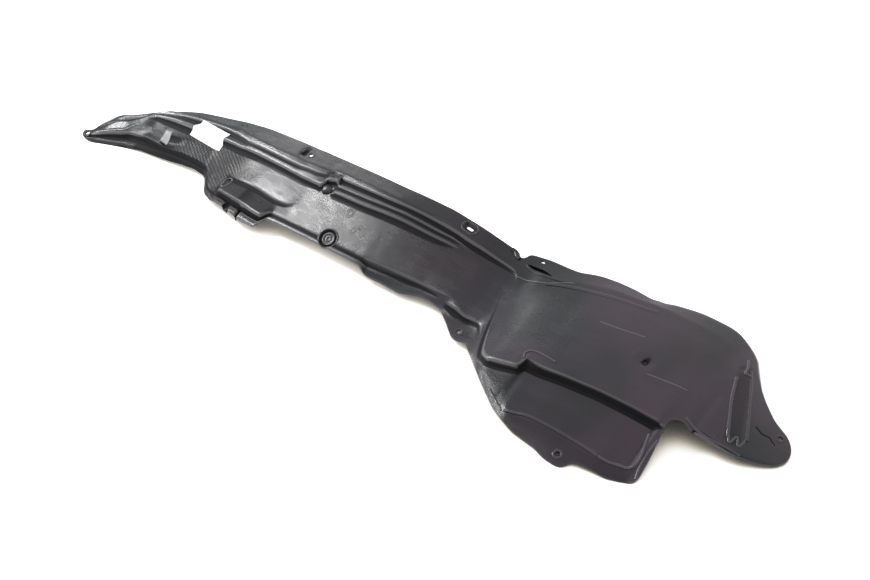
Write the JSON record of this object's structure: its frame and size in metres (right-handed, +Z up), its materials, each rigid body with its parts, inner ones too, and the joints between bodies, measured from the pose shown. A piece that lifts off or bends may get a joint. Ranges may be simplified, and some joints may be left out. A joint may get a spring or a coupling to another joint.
{
  "type": "wheel arch liner",
  "caption": "Long thin moulded plastic wheel arch liner: a stepped arch strip that widens into a domed front panel with a recess, tabs and clip holes, and a blank paper label.",
  "frame": {"origin": "centre of the bounding box on the floor, with the liner lying outer side up as in the picture", "axes": "+X from the rear end to the front tip along the length, +Y to the far edge, +Z up"},
  "size_m": [1.45, 0.4, 0.0987],
  "materials": {
    "liner_plastic": "satin black moulded polyethylene with a fine grain",
    "label_paper": "plain white paper sticker, matt"
  },
  "bodies": {
    "root": {"liner": "liner_plastic", "label": "label_paper"}
  },
  "joints": []
}
